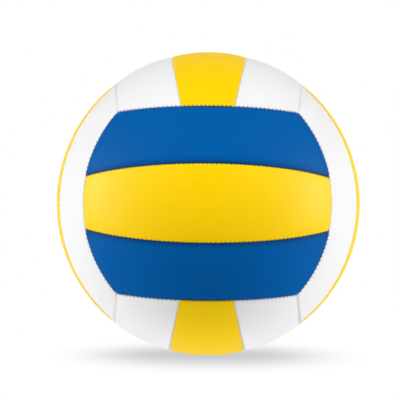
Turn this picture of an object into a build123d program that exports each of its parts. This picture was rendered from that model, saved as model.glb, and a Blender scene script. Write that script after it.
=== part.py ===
from build123d import *

import os
from math import acos, atan2, cos, degrees, hypot, radians, sin, sqrt

# Sewn indoor volleyball of eighteen panels: six faces of three parallel strips, each face's strips
# running at right angles to those of its neighbours. Inside the sewn cover is a rubber bladder with
# a needle valve. The origin is the ball's centre, +Z is up, and the valve looks along +Y.
# Lengths are millimetres. Angles are degrees, seen from the ball's centre.

# The ball
ball_diameter = 210.0

# Seam layout, the same on all six faces
face_half_angle = 37.6  # from a face's centre to the long side of its outer strips
strip_half_angle = 14.4  # from a face's centre to the seam beside its middle strip
strip_end_half_angle = 15.7  # that seam's turn about the strips' direction, where it meets the face's end
blank_margin = 5.0  # by which the blank that a strip is cut from is larger all round

# Laminated cover panel, from the outside in
skin_thickness = 1.2
foam_thickness = 2.0
lining_thickness = 0.6
bond_line = 0.1  # glue between two layers

# Seams
seam_gap = 0.2  # between the turned-in edges of two panels
edge_radius = 2.0  # how the skin rolls over into the seam
thread_diameter = 0.6
thread_clearance = 0.05  # between the thread and the two rolled edges that it lies on
thread_end_gap = 1.2  # left free at each end, where seams meet

# Bladder
bladder_thickness = 0.8
bladder_clearance = 0.3  # to the lining around it

# Valve housing, moulded onto the bladder
boss_diameter = 10.0
boss_recess = 0.4  # of the boss's face below the crown of the cover
boss_edge_radius = 0.6
panel_hole_clearance = 0.3  # around the boss, all through the cover
flange_diameter = 34.0
flange_thickness = 1.5
sleeve_length = 12.0  # from the flange's inner face into the bladder

# Valve insert, the soft plug that seals on the needle
stem_diameter = 5.2
head_diameter = 7.0
head_thickness = 1.4
insert_clearance = 0.08  # around the stem and the head, and under the head
tip_length = 3.0  # stem beyond the sleeve's end
needle_bore_diameter = 2.2
needle_bore_depth = 14.0
needle_countersink_depth = 0.5
slit_width = 0.15  # of the closed lips past the needle bore
slit_height = 3.2

# Each face: its outward normal, the way its strips run, and its two outer strips' names. The first
# named strip is on the side of (normal x strip direction).
FACES = {
    "front": ((0, -1, 0), (1, 0, 0), ("upper", "lower")),
    "back": ((0, 1, 0), (-1, 0, 0), ("upper", "lower")),
    "top": ((0, 0, 1), (0, 1, 0), ("left", "right")),
    "bottom": ((0, 0, -1), (0, -1, 0), ("left", "right")),
    "left": ((-1, 0, 0), (0, 0, 1), ("back", "front")),
    "right": ((1, 0, 0), (0, 0, -1), ("back", "front")),
}
VALVE_FACE = "back"

# Radii of the layers, from the outside in
ball_radius = ball_diameter / 2
foam_radius = ball_radius - skin_thickness - bond_line
lining_radius = foam_radius - foam_thickness - bond_line
cover_inner_radius = lining_radius - lining_thickness
cover_thickness = ball_radius - cover_inner_radius
bladder_radius = cover_inner_radius - bladder_clearance
bladder_inner_radius = bladder_radius - bladder_thickness
layer_inset = skin_thickness + bond_line  # from a panel's wall to the foam and lining inside it


class SeamCone:
    """The cone from the ball's centre through one seam, which is a circle on the ball.

    It is drawn in a face's own frame: x along the strips, y across them, z outward. The seam runs
    symmetrically past its middle, which lies in the plane of z and side, to two ends.
    """

    def __init__(self, middle_angle, end, outward=Vector(0, 0, 1), side=Vector(0, 1, 0)):
        middle = outward * cos(middle_angle) + side * sin(middle_angle)
        rise = (middle - end).dot(outward)
        run = (middle - end).dot(side)
        self.axis = (side * rise - outward * run).normalized()
        self.half_angle = acos(self.axis.dot(middle))
        self.across = (middle - self.axis * cos(self.half_angle)).normalized()
        along = outward.cross(side)
        self.half_turn = atan2(abs(end.dot(along)), end.dot(self.across))

    def inside(self, inset):
        """The space inside the cone, its wall moved inward by inset."""
        reach = ball_diameter
        wall = (reach * sin(self.half_angle), reach * cos(self.half_angle))
        outline = Polyline((0, 0), wall, (wall[0], reach), (0, reach), close=True)
        tool = revolve(Plane.XZ * make_face(outline), Axis.Z)
        apex = self.axis * (inset / sin(self.half_angle))
        return Plane(origin=apex, x_dir=-self.across, z_dir=self.axis) * tool

    def thread(self, radius):
        """A thread along the seam, with its centre line at this distance from the ball's centre."""
        ring_radius = radius * sin(self.half_angle)
        half_turn = self.half_turn - thread_end_gap / ring_radius
        frame = Plane(origin=(0, 0, 0), x_dir=self.across, z_dir=self.axis)
        section = Pos(ring_radius, radius * cos(self.half_angle)) * Circle(thread_diameter / 2)
        cord = revolve(Plane.XZ * section, Axis.Z, degrees(2 * half_turn))
        return frame * Rot(0, 0, -degrees(half_turn)) * cord


def face_seams():
    """The seams of one face: long side, strip end and strip seam, each as a SeamCone."""
    corner = Vector(1, 1, 1).normalized()
    long_side = SeamCone(radians(face_half_angle), corner)
    # A face ends where its neighbour's long side runs, seen from the neighbour's own outward axis.
    strip_end = SeamCone(radians(face_half_angle), corner, Vector(1, 0, 0), Vector(0, 0, 1))
    tilt = radians(strip_end_half_angle)
    along, out = strip_end.axis.X, strip_end.axis.Z * cos(tilt)
    turn = atan2(out, along) - acos(cos(strip_end.half_angle) / hypot(along, out))
    seam_end = Vector(cos(turn), sin(turn) * sin(tilt), sin(turn) * cos(tilt))
    strip_seam = SeamCone(radians(strip_half_angle), seam_end)
    return long_side, strip_end, strip_seam


LONG_SIDE, STRIP_END, STRIP_SEAM = face_seams()
HALF_TURN = Rot(0, 0, 180)  # about a face's outward axis: from one outer strip to the other


def ball(radius):
    """A ball whose poles lie well away from the face that is outward along z."""
    return Rot(90, 0, 0) * Sphere(radius)


def strip_blank(is_middle, outer_radius, inner_radius):
    """A piece of shell somewhat larger than a strip, from which the strip is cut."""
    half_length = radians(90 - face_half_angle + blank_margin)
    corner_turn = 45.0  # of the face's corners about the strips' direction
    if is_middle:
        far_side = max(strip_half_angle, strip_end_half_angle) + blank_margin
        near_side = -far_side
    else:
        far_side = corner_turn + blank_margin
        near_side = min(strip_half_angle, strip_end_half_angle) - blank_margin
    reach = 2 * outer_radius / cos(half_length)
    along, out = reach * sin(half_length), reach * cos(half_length)
    sector = make_face(Polyline((0, 0), (along, out), (-along, out), close=True))
    section = (Circle(outer_radius) - Circle(inner_radius)) & sector
    return Rot(-far_side, 0, 0) * revolve(Plane.XZ * section, Axis.X, far_side - near_side)


def strip_block(is_middle, outer_radius, inner_radius, inset, rounding):
    """One strip of a face as a thick curved plate, its walls moved in and its outer edges rounded."""
    ends = STRIP_END.inside(inset)
    block = strip_blank(is_middle, outer_radius, inner_radius) & ends & (HALF_TURN * ends)
    if is_middle:
        beyond = STRIP_SEAM.inside(-inset)
        block = block - beyond - HALF_TURN * beyond
    else:
        block = (block & STRIP_SEAM.inside(inset)) - LONG_SIDE.inside(-inset)
    if rounding > 0:
        rim = [e for e in block.edges() if abs((e @ 0.5).length - outer_radius) < bond_line]
        block = fillet(rim, rounding)
    return block


def strip_layers(is_middle):
    """A strip's skin with its turned-in edges, its foam and its lining."""
    wall = seam_gap / 2
    inner_rounding = edge_radius - skin_thickness
    plate = strip_block(is_middle, ball_radius, cover_inner_radius, wall, edge_radius)
    hollow = strip_block(
        is_middle,
        ball_radius - skin_thickness,
        cover_inner_radius - skin_thickness,
        wall + skin_thickness,
        inner_rounding,
    )
    inset = wall + layer_inset
    foam = strip_block(
        is_middle, foam_radius, foam_radius - foam_thickness, inset, inner_rounding - bond_line
    )
    lining = strip_block(is_middle, lining_radius, cover_inner_radius, inset, 0)
    return {"panel": plate - hollow, "foam": foam, "lining": lining}


def seam_threads():
    """The four threads that a face brings: beside its middle strip, and along its long sides."""
    # The thread lies in the groove, on the two rolled edges.
    reach = edge_radius + thread_diameter / 2 + thread_clearance
    nest_depth = edge_radius - sqrt(reach**2 - (edge_radius + seam_gap / 2) ** 2)
    radius = ball_radius - nest_depth
    pair = [STRIP_SEAM.thread(radius), LONG_SIDE.thread(radius)]
    return pair + [HALF_TURN * cord for cord in pair]


def bladder_and_valve():
    """The bladder, the valve housing and the valve insert, with the valve looking along z."""
    boss_face = ball_radius - boss_recess
    flange_outer = bladder_inner_radius - bond_line
    flange_inner = flange_outer - flange_thickness
    sleeve_end = flange_inner - sleeve_length
    boss_radius = boss_diameter / 2

    port = Cylinder(boss_radius + bond_line, ball_radius, align=(Align.CENTER, Align.CENTER, Align.MIN))
    bladder = ball(bladder_radius) - ball(bladder_inner_radius) - port

    boss = Pos(0, 0, sleeve_end) * Cylinder(
        boss_radius, boss_face - sleeve_end, align=(Align.CENTER, Align.CENTER, Align.MIN)
    )
    boss = fillet(boss.edges().group_by(Axis.Z)[-1], boss_edge_radius)
    flange = (ball(flange_outer) - ball(flange_inner)) & Cylinder(
        flange_diameter / 2, ball_radius, align=(Align.CENTER, Align.CENTER, Align.MIN)
    )
    seat = valve_plug(boss_face, sleeve_end, insert_clearance)
    housing = boss + flange - seat

    insert = valve_plug(boss_face, sleeve_end - tip_length, 0)
    bore_end = boss_face - needle_bore_depth
    bore_radius = needle_bore_diameter / 2
    bore = Pos(0, 0, bore_end) * Cylinder(
        bore_radius, needle_bore_depth, align=(Align.CENTER, Align.CENTER, Align.MIN)
    )
    mouth = Pos(0, 0, boss_face - needle_countersink_depth) * Cone(
        bore_radius,
        bore_radius + needle_countersink_depth,
        needle_countersink_depth,
        align=(Align.CENTER, Align.CENTER, Align.MIN),
    )
    slit_length = bore_end - (sleeve_end - tip_length)
    slit = Pos(0, 0, bore_end) * Box(
        slit_width, slit_height, slit_length, align=(Align.CENTER, Align.CENTER, Align.MAX)
    )
    insert = insert - bore - mouth - slit
    return bladder, housing, insert


def valve_plug(top, bottom, growth):
    """The stepped outside of the insert: head and stem, or the seat for it when grown."""
    head_bottom = top - head_thickness - growth
    head = Pos(0, 0, head_bottom) * Cylinder(
        head_diameter / 2 + growth, top - head_bottom, align=(Align.CENTER, Align.CENTER, Align.MIN)
    )
    stem = Pos(0, 0, bottom) * Cylinder(
        stem_diameter / 2 + growth, top - bottom, align=(Align.CENTER, Align.CENTER, Align.MIN)
    )
    return head + stem


def place_face(name):
    """A face's own frame, set in the ball."""
    normal, strips_run, _ = FACES[name]
    return Plane(origin=(0, 0, 0), x_dir=strips_run, z_dir=normal)


def save(name, *solids):
    shape = solids[0] if len(solids) == 1 else Compound(children=list(solids))
    export_step(shape, f"parts/{name}.step")


def main():
    os.makedirs("parts", exist_ok=True)
    outer = strip_layers(is_middle=False)
    middle = strip_layers(is_middle=True)
    valve_hole = Cylinder(
        boss_diameter / 2 + panel_hole_clearance,
        ball_diameter,
        align=(Align.CENTER, Align.CENTER, Align.MIN),
    )
    threads = seam_threads()
    for face, (_, _, sides) in FACES.items():
        frame = place_face(face)
        linings = []
        strips = ((sides[0], outer, Rot()), (sides[1], outer, HALF_TURN), ("middle", middle, Rot()))
        for strip, layers, turn in strips:
            for layer, solid in layers.items():
                piece = turn * solid
                if face == VALVE_FACE and strip == "middle":
                    piece = piece - valve_hole
                if layer == "lining":
                    linings.append(frame * piece)
                else:
                    save(f"{face}_{strip}_{layer}", frame * piece)
        save(f"{face}_lining", *linings)
        save(f"{face}_stitching", *[frame * cord for cord in threads])

    frame = place_face(VALVE_FACE)
    for name, solid in zip(("bladder", "valve_housing", "valve_insert"), bladder_and_valve()):
        save(name, frame * solid)


main()
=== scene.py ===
from math import acos, atan2, cos, exp, hypot, pi, radians, sin, sqrt

import bpy
import numpy as np
from mathutils import Matrix, Vector


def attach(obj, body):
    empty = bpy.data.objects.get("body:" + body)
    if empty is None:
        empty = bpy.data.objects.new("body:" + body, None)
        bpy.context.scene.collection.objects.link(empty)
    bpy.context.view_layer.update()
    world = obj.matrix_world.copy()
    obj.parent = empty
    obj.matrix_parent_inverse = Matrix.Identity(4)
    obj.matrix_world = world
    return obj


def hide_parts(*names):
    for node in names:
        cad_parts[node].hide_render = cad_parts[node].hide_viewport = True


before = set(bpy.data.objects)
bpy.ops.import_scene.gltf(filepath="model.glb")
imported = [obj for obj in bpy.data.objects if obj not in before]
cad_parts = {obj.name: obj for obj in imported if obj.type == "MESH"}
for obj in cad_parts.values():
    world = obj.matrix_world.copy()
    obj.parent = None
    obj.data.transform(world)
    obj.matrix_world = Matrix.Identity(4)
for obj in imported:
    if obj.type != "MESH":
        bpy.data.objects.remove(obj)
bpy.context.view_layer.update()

# Bladder: the air-tight ball inside the cover, blow-moulded from black butyl rubber.
# It lies loose in the cover, and the air presses it against the lining.


class Value:
    """One output socket of a material. Arithmetic on it adds Math nodes, and node adds any other."""

    def __init__(self, tree, socket):
        self.tree = tree
        self.socket = socket

    def node(self, kind, settings, inputs, output=0):
        made = self.tree.nodes.new(kind)
        for name, setting in settings.items():
            setattr(made, name, setting)
        for name, value in inputs.items():
            if isinstance(value, Value):
                self.tree.links.new(value.socket, made.inputs[name])
            else:
                made.inputs[name].default_value = value
        return Value(self.tree, made.outputs[output])

    def math(self, operation, *values):
        return self.node("ShaderNodeMath", {"operation": operation}, dict(enumerate(values)))

    def __add__(self, other):
        return self.math("ADD", self, other)

    def __sub__(self, other):
        return self.math("SUBTRACT", self, other)

    def __rsub__(self, other):
        return self.math("SUBTRACT", other, self)

    def __mul__(self, other):
        return self.math("MULTIPLY", self, other)

    __radd__ = __add__
    __rmul__ = __mul__

    def noise(self, size, detail=2.0):
        """Cloudy noise from 0 to 1 with spots of about this size, in metres."""
        inputs = {"Vector": self, "Scale": 1 / size, "Detail": detail}
        return self.node("ShaderNodeTexNoise", {}, inputs)

    def cells(self, size):
        """Distance to the middle of the nearest of many random cells of about this size, in metres."""
        return self.node("ShaderNodeTexVoronoi", {}, {"Vector": self, "Scale": 1 / size})

    def mix(self, first, second):
        """A colour between two, by this value."""
        return self.node("ShaderNodeMix", {"data_type": "RGBA"}, {0: self, 6: first, 7: second}, 2)

    def raised(self, height, strength):
        """A normal for a surface that this value lifts by up to this height, in metres."""
        return self.node("ShaderNodeBump", {}, {"Height": self, "Distance": height, "Strength": strength})


class Finish:
    """A material with one shader. place is the point on the piece, in metres."""

    def __init__(self, name, **numbers):
        self.material = bpy.data.materials.new(name)
        self.material.use_nodes = True
        self.tree = self.material.node_tree
        self.shader = self.tree.nodes["Principled BSDF"]
        for socket, number in numbers.items():
            self.shader.inputs[socket.replace("_", " ")].default_value = number
        self.place = Value(self.tree, self.tree.nodes.new("ShaderNodeTexCoord").outputs["Object"])

    def feed(self, **values):
        for socket, value in values.items():
            self.tree.links.new(value.socket, self.shader.inputs[socket.replace("_", " ")])

    def put_on(self, piece):
        piece.data.materials.clear()
        piece.data.materials.append(self.material)


def put_on_nodes(finish, *nodes):
    for node in nodes:
        finish.put_on(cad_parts[node])


butyl = Finish("butyl_rubber", Specular_IOR_Level=0.4)
bloom = butyl.place.noise(size=0.02)
butyl.feed(
    Base_Color=bloom.mix((0.018, 0.018, 0.02, 1), (0.04, 0.04, 0.042, 1)),
    Roughness=bloom * 0.2 + 0.45,
    Normal=butyl.place.noise(size=0.0015).raised(height=0.0001, strength=0.4),
)
put_on_nodes(butyl, "bladder")

# Valve housing: a black rubber boss and sleeve, moulded in one and bonded inside the bladder.
# Its face shows in a round hole in the middle of one panel.

moulded = Finish("moulded_rubber", Specular_IOR_Level=0.45)
scuff = moulded.place.noise(size=0.004, detail=4.0)
moulded.feed(
    Base_Color=scuff.mix((0.015, 0.015, 0.016, 1), (0.05, 0.05, 0.05, 1)),
    Roughness=scuff * 0.25 + 0.4,
    Normal=moulded.place.noise(size=0.0004).raised(height=0.00004, strength=0.5),
)
put_on_nodes(moulded, "valve_housing")

# Valve insert: a soft plug of pale natural rubber with a needle hole, pushed into the housing.
# A little silicone grease keeps it shiny around the hole.

latex = Finish("natural_rubber", Specular_IOR_Level=0.5, Subsurface_Weight=0.1, Subsurface_Scale=0.001)
mottle = latex.place.noise(size=0.0025, detail=3.0)
latex.feed(
    Base_Color=mottle.mix((0.5, 0.44, 0.34, 1), (0.62, 0.57, 0.46, 1)),
    Roughness=mottle * 0.3 + 0.22,
    Normal=latex.place.noise(size=0.0005).raised(height=0.00003, strength=0.5),
)
put_on_nodes(latex, "valve_insert")

# Cloth lining: woven polyester and cotton glued behind the foam of every panel.
# It keeps the panel from stretching, and nothing of it shows on a closed ball.

FACES = {
    "front": ((0, -1, 0), (1, 0, 0), ("upper", "lower")),
    "back": ((0, 1, 0), (-1, 0, 0), ("upper", "lower")),
    "top": ((0, 0, 1), (0, 1, 0), ("left", "right")),
    "bottom": ((0, 0, -1), (0, -1, 0), ("left", "right")),
    "left": ((-1, 0, 0), (0, 0, 1), ("back", "front")),
    "right": ((1, 0, 0), (0, 0, -1), ("back", "front")),
}
yarn_pitch = 0.0009
yarn_waver = 0.3
weave_share, slub_share = 0.6, 0.4


def yarns(place, direction):
    inputs = {"Vector": place, "Scale": 1 / yarn_pitch / pi, "Distortion": yarn_waver}
    return place.node("ShaderNodeTexWave", {"bands_direction": direction}, inputs, 1)


cloth = Finish("lining_cloth", Roughness=0.9, Sheen_Weight=0.3)
weave = yarns(cloth.place, "X") * 0.5 + yarns(cloth.place, "Z") * 0.5
slub = cloth.place.noise(size=0.006)
yarn_tone = weave * weave_share + slub * slub_share
cloth.feed(
    Base_Color=yarn_tone.mix((0.5, 0.47, 0.41, 1), (0.78, 0.76, 0.7, 1)),
    Normal=weave.raised(height=0.0002, strength=0.7),
)
put_on_nodes(cloth, *[f"{face}_lining" for face in FACES])

# Foam backing: a sheet of soft closed-cell foam glued between the skin and the lining.
# It gives the panel its soft touch, and is cut to fit inside the skin's turned-in edges.

foam = Finish("closed_cell_foam", Roughness=0.85)
pores = foam.place.cells(size=0.0006)
yellowing = foam.place.noise(size=0.008)
foam.feed(
    Base_Color=yellowing.mix((0.72, 0.71, 0.66, 1), (0.84, 0.83, 0.79, 1)),
    Normal=pores.raised(height=0.0002, strength=0.6),
)
for face, (_, _, sides) in FACES.items():
    put_on_nodes(foam, *[f"{face}_{strip}_foam" for strip in (*sides, "middle")])

# Cover panels: strips of satin synthetic leather, three to a face. Each is die-cut, its edges are
# turned in, and it is sewn inside out to its neighbours. The air then crowns it between its seams,
# and each stitch pinches its edge a little.

ball_radius = 0.105
face_half_angle = 37.6  # degrees from the middle of a face to its long sides
strip_half_angle = 14.4  # and to its strip seams, at their middle
strip_end_half_angle = 15.7  # and at their ends
seam_gap = 0.0002
cover_depth = 0.004  # down to the foot of the turned-in walls
skin = 0.0012
edge_roll = 0.0013  # radius
roll_angle = 38
corner_radius = 0.0024
crown_drop = 0.0006  # of the panel's edge below its middle
crown_width = 0.0045
pinch_pull = 0.0004  # how far a stitch draws the edge in
pinch_reach = 0.0011  # across the seam
pinch_length = 0.0005  # along the seam
below_edge_slope = 1.7  # of the edge that a stitch draws in
deepest_rim = 0.0034
plain_inset = 0.005  # of the plain middle, inside the finer rows of the rim
roll_rows = 9

# Stitches along a strip seam, along a middle strip's end and along an outer strip's end. The mesh
# columns that each stitch is given make the two long edges of an outer strip match.
stitch_pitch = 0.003
seam_stitches, middle_end_stitches, outer_end_stitches = 60, 13, 16
seam_columns, end_columns = 6, 8
plain_share = 8  # rim columns to one column of the plain middle

# Rows of the mesh between the plain middle and the rolled edge, as insets, and down the turned-in
# wall, as parts of its depth. The second number is the rim columns to one column of the row.
approach_rows = ((0.0036, 4), (0.0025, 2))
wall_rows = ((0.35, 1), (0.65, 2), (0.85, 4), (1.0, 8))
# The hollow between the wall and the inner face, as inset and depth in thicknesses of the skin.
hollow_rows = ((1.0, 2.0), (1.25, 1.3), (1.8, 1.04))


class Seam:
    """A seam as a circle on the unit ball, in a face's frame: x along the strips, z outward."""

    def __init__(self, middle_angle, end, outward=(0, 0, 1), side=(0, 1, 0)):
        outward, side = np.array(outward, float), np.array(side, float)
        middle = outward * cos(middle_angle) + side * sin(middle_angle)
        rise, run = (middle - end) @ outward, (middle - end) @ side
        self.axis = (side * rise - outward * run) / hypot(rise, run)
        self.half_angle = acos(self.axis @ middle)
        self.across = (middle - self.axis * cos(self.half_angle)) / sin(self.half_angle)
        self.along = np.cross(self.axis, self.across)

    def turned(self):
        """The same seam on the other side of the face."""
        half_turn = (-1, -1, 1)
        other = object.__new__(Seam)
        other.half_angle = self.half_angle
        other.axis = self.axis * half_turn
        other.across = self.across * half_turn
        other.along = self.along * half_turn
        return other

    def turn_of(self, point):
        return atan2(point @ self.along, point @ self.across)

    def points(self, turns, half_angle):
        ring = np.outer(np.cos(turns), self.across) + np.outer(np.sin(turns), self.along)
        return self.axis * cos(half_angle) + ring * sin(half_angle)


class Edge:
    """One edge of a panel: its seam, which side of it the panel is on, and the stitches along it."""

    def __init__(self, seam, sense, stitches, columns, breaks=()):
        self.seam = seam
        self.sense = sense  # 1 if the panel is outside the seam's circle, -1 if inside
        self.stitches = stitches  # between the ends and the breaks
        self.columns = columns
        self.breaks = breaks

    def angle(self, inset):
        return self.seam.half_angle + self.sense * (inset + seam_gap / 2) / ball_radius

    def inset_of(self, points):
        angles = np.arccos(np.clip(points @ self.seam.axis, -1, 1))
        return self.sense * (angles - self.seam.half_angle) * ball_radius - seam_gap / 2

    def turns(self, start, end):
        """The turns of the mesh columns from one end to the other, without the last."""
        stops = sorted((start, *self.breaks, end), reverse=start > end)
        parts = zip(stops, stops[1:], self.stitches)
        return np.concatenate([np.linspace(a, b, n * self.columns, endpoint=False) for a, b, n in parts])

    def pinch(self):
        """How much a stitch pinches each column, from 0 to 1."""
        column = np.arange(sum(self.stitches) * self.columns)
        from_stitch = np.minimum(column % self.columns, -column % self.columns)
        pitch = stitch_pitch / self.columns
        pinched = np.exp(-((from_stitch * pitch / pinch_length) ** 2))
        pinched[0] = 0
        return pinched


class Outline:
    """A panel's four edges, going round it as seen from outside, and the corner where each starts.

    strip_edges are those along which it is sewn to the next strip of its face.
    """

    def __init__(self, edges, corners, strip_edges):
        self.edges = edges
        self.strip_edges = strip_edges
        self.corners = [np.array(c) for c in corners]
        self.pinch = np.concatenate([edge.pinch() for edge in edges])
        self.plain_counts = [sum(e.stitches) * e.columns // plain_share for e in edges[:2]]

    def corner_at(self, i, inset):
        """Where an edge and the one before it cross at this inset."""
        first, second = self.edges[i - 1], self.edges[i]
        k1, k2 = cos(first.angle(inset)), cos(second.angle(inset))
        lean = first.seam.axis @ second.seam.axis
        base = (k1 - lean * k2) * first.seam.axis + (k2 - lean * k1) * second.seam.axis
        base /= 1 - lean * lean
        rise = np.cross(first.seam.axis, second.seam.axis)
        rise *= sqrt((1 - base @ base) / (rise @ rise))
        return base + rise * np.sign(rise @ self.corners[i])

    def row(self, inset, share=1):
        """A closed row of directions at this inset, with one of every so many rim columns."""
        corners = [self.corner_at(i, inset) for i in range(len(self.edges))]
        parts = []
        for edge, start, end in zip(self.edges, corners, corners[1:] + corners[:1]):
            turns = edge.turns(edge.seam.turn_of(start), edge.seam.turn_of(end))
            parts.append(edge.seam.points(turns[::share], edge.angle(inset)))
        return np.concatenate(parts)

    def edge_distance(self, points):
        """How far points lie in from the panel's edge, with its corners rounded."""
        insets = np.array([edge.inset_of(points) for edge in self.edges])
        short = np.sqrt((np.clip(corner_radius - insets, 0, None) ** 2).sum(axis=0))
        return np.where(short > 0, corner_radius - short, insets.min(axis=0))

    def strip_distance(self, points):
        """How far points lie in from the nearest strip edge."""
        return np.min([edge.inset_of(points) for edge in self.strip_edges], axis=0)


roll_width = edge_roll * sin(radians(roll_angle))


def panel_drop(distance):
    """How far the skin lies below the ball's full radius, by its distance from the panel's edge."""
    on_roll = np.clip(roll_width - distance, 0, roll_width)
    roll = edge_roll - np.sqrt(edge_roll**2 - on_roll**2)
    crown = crown_drop * np.exp(-np.clip(distance, 0, None) / crown_width)
    below = np.clip(-distance, 0, None) * below_edge_slope
    return np.minimum(roll + crown + below, deepest_rim)


class Shell:
    """Points and faces of one closed piece, put together row by row."""

    def __init__(self, outline):
        self.outline = outline
        self.points, self.seam_distance, self.faces = [], [], []
        self.count = 0

    def row(self, directions, depths):
        size = len(directions)
        self.points.append(directions * (ball_radius - depths)[:, None])
        self.seam_distance.append(self.outline.strip_distance(directions))
        self.count += size
        return np.arange(self.count - size, self.count)

    def bridge(self, first, second):
        """Joins two closed rows of as many points, or one of which has twice as many."""
        a, b = len(first), len(second)
        for k in range(min(a, b)):
            n = (k + 1) % min(a, b)
            if a == b:
                self.faces.append((first[k], second[k], second[n], first[n]))
            elif b > a:
                low, mid, high = second[2 * k], second[2 * k + 1], second[(2 * k + 2) % b]
                self.faces += [(first[k], low, mid), (first[k], mid, first[n]), (first[n], mid, high)]
            else:
                low, mid, high = first[2 * k], first[2 * k + 1], first[(2 * k + 2) % a]
                self.faces += [(low, second[k], mid), (mid, second[k], second[n]), (mid, second[n], high)]

    def bridge_all(self, rows):
        for first, second in zip(rows, rows[1:]):
            self.bridge(first, second)

    def finished(self):
        """Its points, their distance from a strip edge and its faces, less the points no face uses."""
        kept = np.unique(np.concatenate(self.faces))
        new_index = np.zeros(self.count, int)
        new_index[kept] = np.arange(len(kept))
        faces = [new_index[list(face)] for face in self.faces]
        return np.concatenate(self.points)[kept], np.concatenate(self.seam_distance)[kept], faces


def plain_grid(shell, rim, directions, depth_of, outward, open_cells):
    """Fills a closed row with a grid, and returns the row around the cells left open in its middle."""
    across, up = shell.outline.plain_counts

    def sides(row):
        right, top, left = across, across + up, 2 * across + up
        ring = np.concatenate((row, row[:1]))
        return ring[: right + 1], ring[right : top + 1], ring[top : left + 1][::-1], ring[left:][::-1]

    below, right, above, left = sides(directions)
    u = np.linspace(0, 1, across + 1)[None, :, None]
    v = np.linspace(0, 1, up + 1)[:, None, None]
    fill = (1 - v) * below[None] + v * above[None] + (1 - u) * left[:, None] + u * right[:, None]
    fill -= (1 - v) * ((1 - u) * below[0] + u * below[-1]) + v * ((1 - u) * above[0] + u * above[-1])
    inner = fill[1:-1, 1:-1].reshape(-1, 3)
    inner /= np.linalg.norm(inner, axis=1)[:, None]
    depths = depth_of(shell.outline.edge_distance(inner))
    grid = np.empty((up + 1, across + 1), int)
    grid[0], grid[:, -1], grid[-1], grid[:, 0] = sides(rim)
    grid[1:-1, 1:-1] = shell.row(inner, depths).reshape(up - 1, across - 1)
    low_j, low_i = (up - open_cells) // 2, (across - open_cells) // 2
    for j in range(up):
        for i in range(across):
            if low_j <= j < low_j + open_cells and low_i <= i < low_i + open_cells:
                continue
            face = (grid[j, i], grid[j, i + 1], grid[j + 1, i + 1], grid[j + 1, i])
            shell.faces.append(face if outward else face[::-1])
    block = grid[low_j : low_j + open_cells + 1, low_i : low_i + open_cells + 1]
    return np.concatenate((block[0, :-1], block[:-1, -1], block[-1, :0:-1], block[:0:-1, 0]))


valve_open_cells = 5
valve_hole_radius = 0.0053
valve_hole_roll = 0.0005
hole_roll_rows = 6
near_ring, far_ring = valve_hole_radius * 1.25, valve_hole_radius * 1.5
first_corner_turn = -0.75 * pi  # towards the corner where the row around the open cells starts


def cut_valve_hole(shell, crown, flat):
    """Closes the open cells of both faces down to a round hole with a rolled edge."""

    def ring(count, radius, depth):
        turns = np.linspace(0, 2 * pi, count, endpoint=False) + first_corner_turn
        out = np.full(count, sqrt(ball_radius**2 - radius**2))
        directions = np.stack((radius * np.cos(turns), radius * np.sin(turns), out), axis=1)
        return shell.row(directions / ball_radius, np.full(count, depth))

    # Each ring has twice the points of the one outside it.
    outer, between, hole = len(crown), 2 * len(crown), 4 * len(crown)
    rows = [flat, ring(outer, far_ring, skin), ring(between, near_ring, skin)]
    rows.append(ring(hole, valve_hole_radius, skin))
    for step in np.linspace(pi / 2, 0, hole_roll_rows):
        radius = valve_hole_radius + valve_hole_roll * (1 - sin(step))
        rows.append(ring(hole, radius, valve_hole_roll * (1 - cos(step))))
    rows += [ring(between, near_ring, 0), ring(outer, far_ring, 0), crown]
    shell.bridge_all(rows)


def inner_depth(distance):
    """The inner face of the skin lies at one depth, whatever the distance from the panel's edge."""
    return np.full(len(distance), skin)


def panel_shell(outline, open_cells=0):
    """A whole panel: crowned face, rolled and pinched edges, turned-in walls and inner face."""
    shell = Shell(outline)
    middle_row = outline.row(plain_inset, plain_share)
    rows = [shell.row(middle_row, panel_drop(outline.edge_distance(middle_row)))]
    # The rows get finer towards the rim, where the roll and the stitches are.
    roll_steps = np.linspace(0, radians(roll_angle), roll_rows)
    rolled = [(roll_width - edge_roll * sin(step), 1) for step in roll_steps]
    for inset, share in (*approach_rows, *rolled):
        directions = outline.row(inset, share)
        pulled = pinch_pull * outline.pinch[::share] * exp(-((inset / pinch_reach) ** 2))
        depths = panel_drop(outline.edge_distance(directions) - pulled)
        rows.append(shell.row(directions, depths))
    # The turned-in walls, coarser again as they go down out of sight.
    for part, share in wall_rows:
        wall = depths[::share] + (cover_depth - depths[::share]) * part
        rows.append(shell.row(outline.row(0, share), wall))
    hollow = [(skin * inset, skin * depth) for inset, depth in hollow_rows]
    for inset, depth in ((skin, cover_depth), *hollow, (plain_inset, skin)):
        directions = outline.row(inset, plain_share)
        rows.append(shell.row(directions, np.full(len(directions), depth)))
    shell.bridge_all(rows)
    crown = plain_grid(shell, rows[0], middle_row, panel_drop, True, open_cells)
    flat = plain_grid(shell, rows[-1], middle_row, inner_depth, False, open_cells)
    if open_cells:
        cut_valve_hole(shell, crown, flat)
    return shell.finished()


corner = np.ones(3) / sqrt(3)
long_side = Seam(radians(face_half_angle), corner)
strip_end = Seam(radians(face_half_angle), corner, (1, 0, 0), (0, 0, 1))
tilt = radians(strip_end_half_angle)
reach_along, reach_out = strip_end.axis[0], strip_end.axis[2] * cos(tilt)
seam_turn = atan2(reach_out, reach_along)
seam_turn -= acos(cos(strip_end.half_angle) / hypot(reach_along, reach_out))
seam_end = np.array((cos(seam_turn), sin(seam_turn) * sin(tilt), sin(seam_turn) * cos(tilt)))
strip_seam = Seam(radians(strip_half_angle), seam_end)
# Along a face's long side, the neighbouring face's strip seams end this far from the middle.
side_break = abs(strip_end.turn_of(seam_end))
side_stitches = (outer_end_stitches, middle_end_stitches, outer_end_stitches)
side_breaks = (-side_break, side_break)


def mirrored(point, x, y):
    return point * (x, y, 1)


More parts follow.
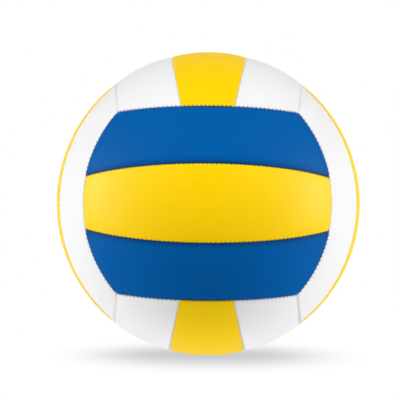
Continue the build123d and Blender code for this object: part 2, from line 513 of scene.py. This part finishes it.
middle_edges = [
    Edge(strip_seam.turned(), 1, (seam_stitches,), seam_columns),
    Edge(strip_end, -1, (middle_end_stitches,), end_columns),
    Edge(strip_seam, 1, (seam_stitches,), seam_columns),
    Edge(strip_end.turned(), -1, (middle_end_stitches,), end_columns),
]
middle_corners = [mirrored(seam_end, x, y) for x, y in ((-1, -1), (1, -1), (1, 1), (-1, 1))]
middle_outline = Outline(middle_edges, middle_corners, middle_edges[::2])
outer_edges = [
    Edge(strip_seam, -1, (seam_stitches,), seam_columns),
    Edge(strip_end, -1, (outer_end_stitches,), end_columns),
    Edge(long_side, 1, side_stitches, end_columns, side_breaks),
    Edge(strip_end.turned(), -1, (outer_end_stitches,), end_columns),
]
outer_corners = [mirrored(seam_end, -1, 1), seam_end, corner, mirrored(corner, -1, 1)]
outer_outline = Outline(outer_edges, outer_corners, outer_edges[:1])


def face_matrix(face):
    """Columns that turn a face's own frame into the ball's."""
    normal, strips_run, _ = FACES[face]
    return np.stack((strips_run, np.cross(normal, strips_run), normal), axis=1)


def new_piece(name, points, faces, node, finish):
    mesh = bpy.data.meshes.new(name)
    mesh.from_pydata(points.tolist(), [], [tuple(int(i) for i in face) for face in faces])
    mesh.polygons.foreach_set("use_smooth", np.ones(len(mesh.polygons), bool))
    piece = bpy.data.objects.new(name, mesh)
    bpy.context.scene.collection.objects.link(piece)
    finish.put_on(piece)
    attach(piece, "ball")
    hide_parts(node)
    return piece


grain_size, grain_height, grain_strength = 0.0007, 0.00012, 0.8
pore_size = 0.0003
mottle_size = 0.025
satin_roughness, mottle_roughness, grain_roughness = 0.4, 0.08, 0.06
pore_share, grain_share = 0.3, 0.7


def synthetic_leather(name, gloss, colour, deep_colour, seam_shade_colour, shade_width):
    """Satin coated cloth with a pebble grain, faint mottling and painted shade by the strip seams."""
    leather = Finish(name, Specular_IOR_Level=gloss)
    place = leather.place
    inset = place.node("ShaderNodeAttribute", {"attribute_name": "seam_distance"}, {}, 2)
    # Painted shade: near the strip seams the colour goes over to the seam colour, within shade_width.
    seam_shade = 1 - place.math("MINIMUM", inset * (1 / shade_width), 1.0)
    pebble = place.cells(grain_size)
    cloud = place.noise(mottle_size, detail=3.0)
    face_colour = cloud.mix(colour, deep_colour)
    relief = place.noise(pore_size) * pore_share - pebble * grain_share
    leather.feed(
        Base_Color=(seam_shade * seam_shade).mix(face_colour, seam_shade_colour),
        Roughness=cloud * mottle_roughness + pebble * grain_roughness + satin_roughness,
        Normal=relief.raised(grain_height, grain_strength),
    )
    return leather


# The seam colours are painted shade along the strip seams: faint on yellow and white, darkest and widest
# on blue.
yellow = synthetic_leather(
    "yellow_leather",
    gloss=0.045,
    colour=(0.985, 0.65, 0.001, 1),
    deep_colour=(0.975, 0.625, 0.001, 1),
    seam_shade_colour=(0.95, 0.59, 0.002, 1),
    shade_width=0.001,
)
blue = synthetic_leather(
    "blue_leather",
    gloss=0.009,
    colour=(0.001, 0.106, 0.38, 1),
    deep_colour=(0.001, 0.099, 0.36, 1),
    seam_shade_colour=(0.001, 0.05, 0.19, 1),
    shade_width=0.006,
)
white = synthetic_leather(
    "white_leather",
    gloss=0.007,
    colour=(0.87, 0.87, 0.87, 1),
    deep_colour=(0.85, 0.85, 0.85, 1),
    seam_shade_colour=(0.86, 0.86, 0.855, 1),
    shade_width=0.001,
)
BLUE_FACES = ("front", "back")
valve_face = "back"


def add_panel(face, strip, shell, turn, finish):
    points, seam_distance, faces = shell
    placed = (points * turn) @ face_matrix(face).T
    piece = new_piece(f"{face}_{strip}_skin", placed, faces, f"{face}_{strip}_panel", finish)
    distance = piece.data.attributes.new("seam_distance", "FLOAT", "POINT")
    distance.data.foreach_set("value", seam_distance.astype(np.float32))


outer_shell = panel_shell(outer_outline)
middle_shell = panel_shell(middle_outline)
valve_shell = panel_shell(middle_outline, valve_open_cells)
for face, (_, _, sides) in FACES.items():
    slot, finish = ("blue_cover", blue) if face in BLUE_FACES else ("white_cover", white)
    add_panel(face, sides[0], outer_shell, (1, 1, 1), finish)
    add_panel(face, sides[1], outer_shell, (-1, -1, 1), finish)
    shell = valve_shell if face == valve_face else middle_shell
    add_panel(face, "middle", shell, (1, 1, 1), yellow)

# Stitching: waxed, twisted polyester thread. One runs in the groove of each seam, and short slanted
# stitches cross it and pinch both edges together. The faces are sewn with a stouter thread than their
# strips. All thread is navy between blue and yellow, blue between blue and white, and else white.
# The navy is partly painted shade: it is dark enough to stand in for the shade of a deeper groove.

fine_thread, fine_reach = 0.0002, 0.0009
stout_thread, stout_reach = 0.00026, 0.0013
thread_press = 0.00008
thread_step = 0.0006
thread_sides = 6
ply_turn = 0.0024
ply_depth = 0.16
stitch_slant = 0.45
stitch_sink = 0.0001
stitch_dive = 0.0006
dive_sharpness = 8
stitch_steps = 8


def add_thread(points, faces, path, radius):
    """A tube along the path with two plies that wind round it, closed at both ends."""
    first = len(points)
    run = np.gradient(path, axis=0)
    run /= np.linalg.norm(run, axis=1)[:, None]
    sideways = np.cross(run, path)
    sideways /= np.linalg.norm(sideways, axis=1)[:, None]
    outward = np.cross(sideways, run)
    steps = np.linalg.norm(np.diff(path, axis=0), axis=1)
    wound = np.concatenate(([0], np.cumsum(steps))) / ply_turn * 2 * pi
    for k in range(len(path)):
        for turn in np.linspace(0, 2 * pi, thread_sides, endpoint=False):
            plies = 1 + ply_depth * cos(2 * (turn - wound[k]))
            spoke = sideways[k] * cos(turn) + outward[k] * sin(turn)
            points.append(path[k] + spoke * radius * plies)
    for k in range(len(path) - 1):
        ring = first + k * thread_sides
        for side in range(thread_sides):
            a = ring + side
            b = ring + (side + 1) % thread_sides
            faces.append((a, a + thread_sides, b + thread_sides, b))
    last = first + (len(path) - 1) * thread_sides
    faces.append(tuple(range(first, first + thread_sides)))
    faces.append(tuple(range(last + thread_sides - 1, last - 1, -1)))


def groove_path(seam, start, end, radius):
    """Centre line of the thread that lies in the groove, pressed a little into both rolled edges."""
    nest = edge_roll + radius - thread_press
    depth = crown_drop + edge_roll - sqrt(nest**2 - (roll_width + seam_gap / 2) ** 2)
    seam_radius = ball_radius * sin(seam.half_angle)
    steps = int((end - start) * seam_radius / thread_step)
    return seam.points(np.linspace(start, end, steps), seam.half_angle) * (ball_radius - depth)


def stitch_path(seam, hole, radius, reach):
    """Centre line of one stitch across the groove, from needle hole to needle hole."""
    side = np.linspace(-1, 1, stitch_steps + 1)
    inset = np.abs(side) * reach
    surface = panel_drop(inset - pinch_pull * np.exp(-((inset / pinch_reach) ** 2)))
    over_thread = panel_drop(np.full_like(inset, seam_gap)) - radius
    dive = stitch_dive * np.abs(side) ** dive_sharpness
    depths = np.minimum(surface, over_thread) - stitch_sink + dive
    seam_radius = ball_radius * sin(seam.half_angle)
    turns = hole + side * reach * stitch_slant / seam_radius
    lean = seam.half_angle + side * reach / ball_radius
    path = [seam.points(np.array([turn]), angle)[0] for turn, angle in zip(turns, lean)]
    return np.array(path) * (ball_radius - depths)[:, None]


def sew(name, node, finish, face, runs):
    """One piece of thread for some runs of seam: the seam, its ends and the number of stitches."""
    points, faces = [], []
    for seam, start, end, stitches in runs:
        fine = seam is strip_seam
        radius, reach = (fine_thread, fine_reach) if fine else (stout_thread, stout_reach)
        for side in (seam, seam.turned()):
            add_thread(points, faces, groove_path(side, start, end, radius), radius)
            for hole in np.linspace(start, end, stitches + 1)[1:-1]:
                add_thread(points, faces, stitch_path(side, hole, radius, reach), radius)
    new_piece(name, np.array(points) @ face_matrix(face).T, faces, node, finish)


def twisted_thread(name, colour, deep_colour):
    thread = Finish(name, Roughness=0.6, Specular_IOR_Level=0.3)
    fibre = thread.place.noise(size=0.0004, detail=3.0)
    thread.feed(
        Base_Color=fibre.mix(colour, deep_colour),
        Normal=fibre.raised(height=0.00005, strength=0.5),
    )
    return thread


# The navy thread's dark colour is partly painted shade: it stands in for the shade of a deeper groove.
navy_thread = twisted_thread("navy_thread", (0.003, 0.018, 0.06, 1), (0.008, 0.04, 0.12, 1))
blue_thread = twisted_thread("blue_thread", (0.003, 0.08, 0.28, 1), (0.006, 0.1, 0.34, 1))
white_thread = twisted_thread("white_thread", (0.76, 0.76, 0.75, 1), (0.84, 0.84, 0.83, 1))
strip_end_turn = abs(strip_seam.turn_of(seam_end))
side_end_turn = abs(long_side.turn_of(corner))
strip_run = (strip_seam, -strip_end_turn, strip_end_turn, seam_stitches)
corner_runs = [
    (long_side, -side_end_turn, -side_break, outer_end_stitches),
    (long_side, side_break, side_end_turn, outer_end_stitches),
]
middle_run = (long_side, -side_break, side_break, middle_end_stitches)
WHITE_SIDED_FACES = ("top", "bottom")  # the corner runs of these lie between white and white
for face in FACES:
    node = f"{face}_stitching"
    slot, thread = ("navy_thread", navy_thread) if face in BLUE_FACES else ("white_thread", white_thread)
    if face in WHITE_SIDED_FACES:
        sew(f"{face}_stitches", node, thread, face, [strip_run, middle_run, *corner_runs])
    else:
        sew(f"{face}_stitches", node, thread, face, [strip_run, middle_run])
        sew(f"{face}_border_stitches", node, blue_thread, face, corner_runs)

# Floor: a white light table under the ball that lights it from below, dimmed by a card in front of it.
# The camera sees it as pure white, but for a painted soft shadow around the spot where the ball rests.


def seen_ray(value):
    """1 for what is seen, straight or in a reflection or through glass, and 0 for light on a piece."""

    def ray(kind):
        return value.node("ShaderNodeLightPath", {}, {}, f"Is {kind} Ray")

    straight_or_mirrored = value.math("MAXIMUM", ray("Camera"), ray("Glossy"))
    return value.math("MAXIMUM", straight_or_mirrored, ray("Transmission"))


floor_radius = 6.0
floor_corners = 24
shadow_start, shadow_end = 0.042, 0.115
shadow_length = 1.7  # how much further the shadow shows to the front and back than to the sides
shadow_reach = 1.0
deep_shadow, open_shadow, pure_white = 0.58, 0.93, 1.0
table_glow, card_glow = 1.07, 0.35
card_centre = (0, -0.24, -ball_radius)
card_core, card_rim = 0.05, 0.2  # the card dims most inside the one, and nothing past the other

points, faces = [(0, 0, -ball_radius)], []
for turn in np.linspace(0, 2 * pi, floor_corners, endpoint=False):
    points.append((floor_radius * cos(turn), floor_radius * sin(turn), -ball_radius))
for k in range(floor_corners):
    faces.append((0, 1 + k, 1 + (k + 1) % floor_corners))
mesh = bpy.data.meshes.new("floor")
mesh.from_pydata(points, [], faces)
floor = bpy.data.objects.new("floor", mesh)
bpy.context.scene.collection.objects.link(floor)
table = Finish("white_table")
place = table.place
squeeze = (1, 1 / shadow_length, 0)
across = place.node("ShaderNodeVectorMath", {"operation": "MULTIPLY"}, {0: place, 1: squeeze})
from_ball = place.node("ShaderNodeVectorMath", {"operation": "LENGTH"}, {0: across}, 1)
fade_inputs = {"Value": from_ball, "From Min": shadow_start, "From Max": shadow_end}
fade = place.node("ShaderNodeMapRange", {"interpolation_type": "SMOOTHSTEP"}, fade_inputs)
open_above = place.node("ShaderNodeAmbientOcclusion", {}, {"Distance": shadow_reach}, 1)


def light(strength):
    return table.place.node("ShaderNodeEmission", {}, {"Strength": strength})


def mix_shaders(share, first, second):
    return table.place.node("ShaderNodeMixShader", {}, {0: share, 1: first, 2: second})


# Painted shadow: near the ball the camera sees emission, from deep_shadow where ambient occlusion closes
# in to open_shadow where it opens up, fading to pure white in an oval stretched to the front and back.
shadow = mix_shaders(open_above, light(deep_shadow), light(open_shadow))
shown = mix_shaders(fade, shadow, light(pure_white))
from_card = place.node("ShaderNodeVectorMath", {"operation": "DISTANCE"}, {0: place, 1: card_centre}, 1)
card_inputs = {"Value": from_card, "From Min": card_rim, "From Max": card_core}
on_card = place.node("ShaderNodeMapRange", {"interpolation_type": "SMOOTHSTEP"}, card_inputs)
glow = mix_shaders(on_card, light(table_glow), light(card_glow))
surface = mix_shaders(seen_ray(place), glow, shown)
table.tree.links.new(surface.socket, table.tree.nodes["Material Output"].inputs["Surface"])
table.put_on(floor)

# Studio light: a soft lamp high on each side of the front, a tall one on each side and a small one
# behind, level with the ball. Two more at the sides show only in the sheen of the cover, and the white
# room adds some light from everywhere.

world = bpy.data.worlds.new("white_room")
bpy.context.scene.world = world
world.use_nodes = True
background = world.node_tree.nodes["Background"]
room = Value(world.node_tree, background.outputs[0])
background.inputs["Color"].default_value = (1, 1, 1, 1)
room_light = 0.15
room_strength = seen_ray(room) * (1 - room_light) + room_light
world.node_tree.links.new(room_strength.socket, background.inputs["Strength"])

# Each lamp's place, its width and height, and its power in watts.
GLOSS_LAMPS = {
    "left_gloss_lamp": ((-1.3, -0.05, 0.0), (0.5, 1.0), 70.0),
    "right_gloss_lamp": ((1.3, -0.05, 0.0), (0.5, 1.0), 70.0),
}
SOFT_LAMPS = {
    "front_left_lamp": ((-1.0, -0.8, 0.9), (0.8, 0.8), 12.6),
    "front_right_lamp": ((1.0, -0.8, 0.9), (0.8, 0.8), 12.6),
    "left_lamp": ((-1.3, 0.0, 0.25), (0.6, 1.0), 3.1),
    "right_lamp": ((1.3, 0.0, 0.25), (0.6, 1.0), 3.1),
    "back_lamp": ((0.0, 1.5, 0.03), (0.5, 0.4), 14.0),
}
for name, (spot, (wide, tall), power) in (GLOSS_LAMPS | SOFT_LAMPS).items():
    lamp = bpy.data.lights.new(name, "AREA")
    lamp.shape = "RECTANGLE"
    lamp.size, lamp.size_y, lamp.energy = wide, tall, power
    holder = bpy.data.objects.new(name, lamp)
    holder.location = spot
    holder.rotation_euler = (-Vector(spot)).to_track_quat("-Z", "Y").to_euler()
    holder.visible_diffuse = name in SOFT_LAMPS
    bpy.context.scene.collection.objects.link(holder)

# Camera: level with the middle of the ball, a long lens fourteen radii away. The ball in the
# photograph is turned by about half a degree, so the camera goes round it by as much.

photo_size = 400
outline_radius_px = 151.6
ball_centre_px = (208.2, 203.7)
camera_distance = 14.0  # in radii of the ball
ball_pitch, ball_yaw, ball_roll = radians(-0.2), radians(-0.48), radians(0.4)
sensor_width = 36.0

turned = Matrix.Rotation(ball_pitch, 3, "X") @ Matrix.Rotation(ball_yaw, 3, "Z")
turned = Matrix.Rotation(ball_roll, 3, "Y") @ turned
right, ahead, up = turned.transposed().col
focal_px = outline_radius_px * sqrt(camera_distance**2 - 1)
camera_spot = -ahead * camera_distance * ball_radius
aim = ahead - right * ((ball_centre_px[0] - photo_size / 2) / focal_px)
aim += up * ((ball_centre_px[1] - photo_size / 2) / focal_px)
aim.normalize()
right = aim.cross(up).normalized()
up = right.cross(aim)
camera_data = bpy.data.cameras.new("camera")
camera_data.sensor_width = sensor_width
camera_data.lens = sensor_width * focal_px / photo_size
camera = bpy.data.objects.new("camera", camera_data)
camera.matrix_world = Matrix.Translation(camera_spot) @ Matrix((right, up, -aim)).transposed().to_4x4()
bpy.context.scene.collection.objects.link(camera)
bpy.context.scene.camera = camera
bpy.context.scene.view_settings.view_transform = "Standard"
